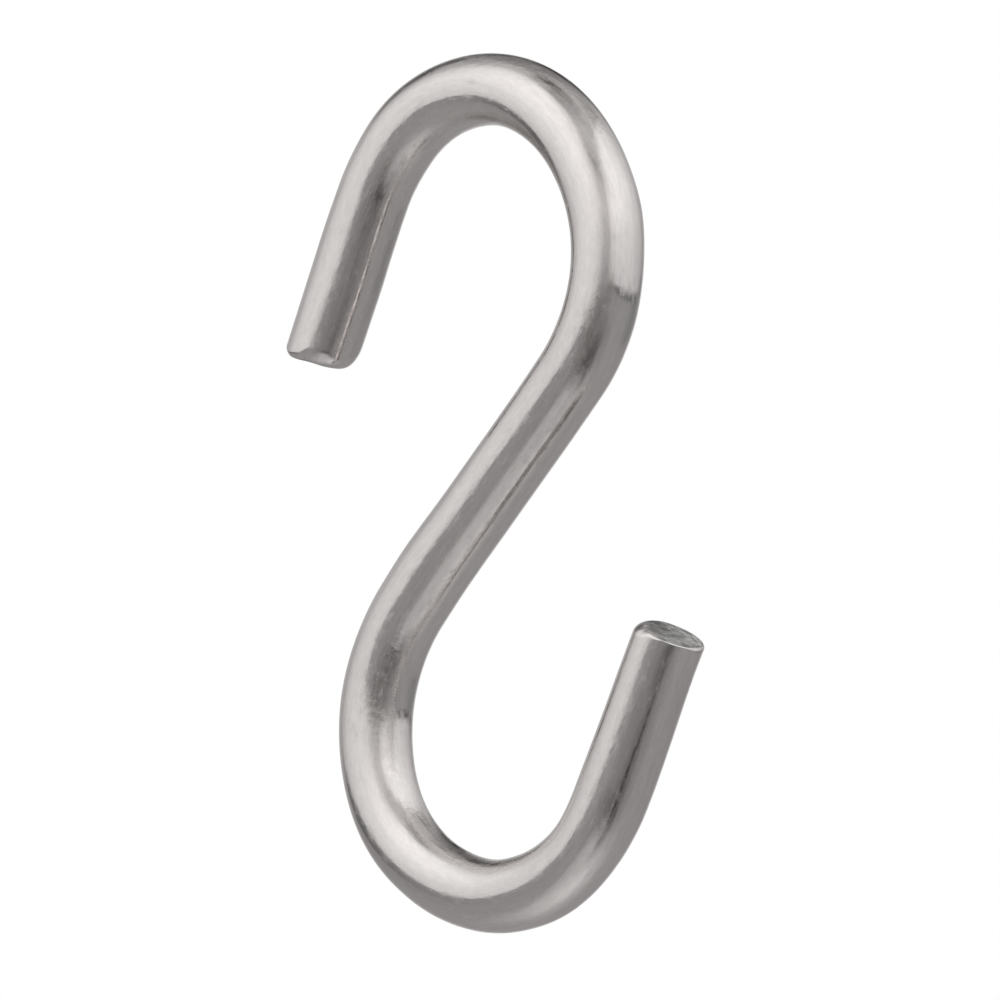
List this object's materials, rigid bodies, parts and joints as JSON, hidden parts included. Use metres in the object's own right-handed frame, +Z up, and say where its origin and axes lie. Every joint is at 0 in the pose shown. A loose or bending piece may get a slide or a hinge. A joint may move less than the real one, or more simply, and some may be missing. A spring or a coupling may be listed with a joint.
{
  "type": "s hook",
  "caption": "Open S hook bent from round steel wire, its opposed hooks joined by a slanting straight shank and its ends cut flat. It hangs a load from a rail, ring or chain.",
  "frame": {"origin": "the seat of the upper hook: the highest point on the inside of its bend, where it rests on the rail or ring that it hangs from", "axes": "+Z up along the line that the hook hangs on, through the centres of both bends. The wire's centreline lies in the XZ plane. The upper hook opens towards -X and the lower hook towards +X."},
  "size_m": [0.0461, 0.0064, 0.0762],
  "materials": {
    "stainless_wire": "satin drawn stainless wire, with fine lines along its length, scuffs and faint dark smudges, and dull rough cut faces"
  },
  "bodies": {
    "root": {"hook": "stainless_wire"}
  },
  "joints": []
}
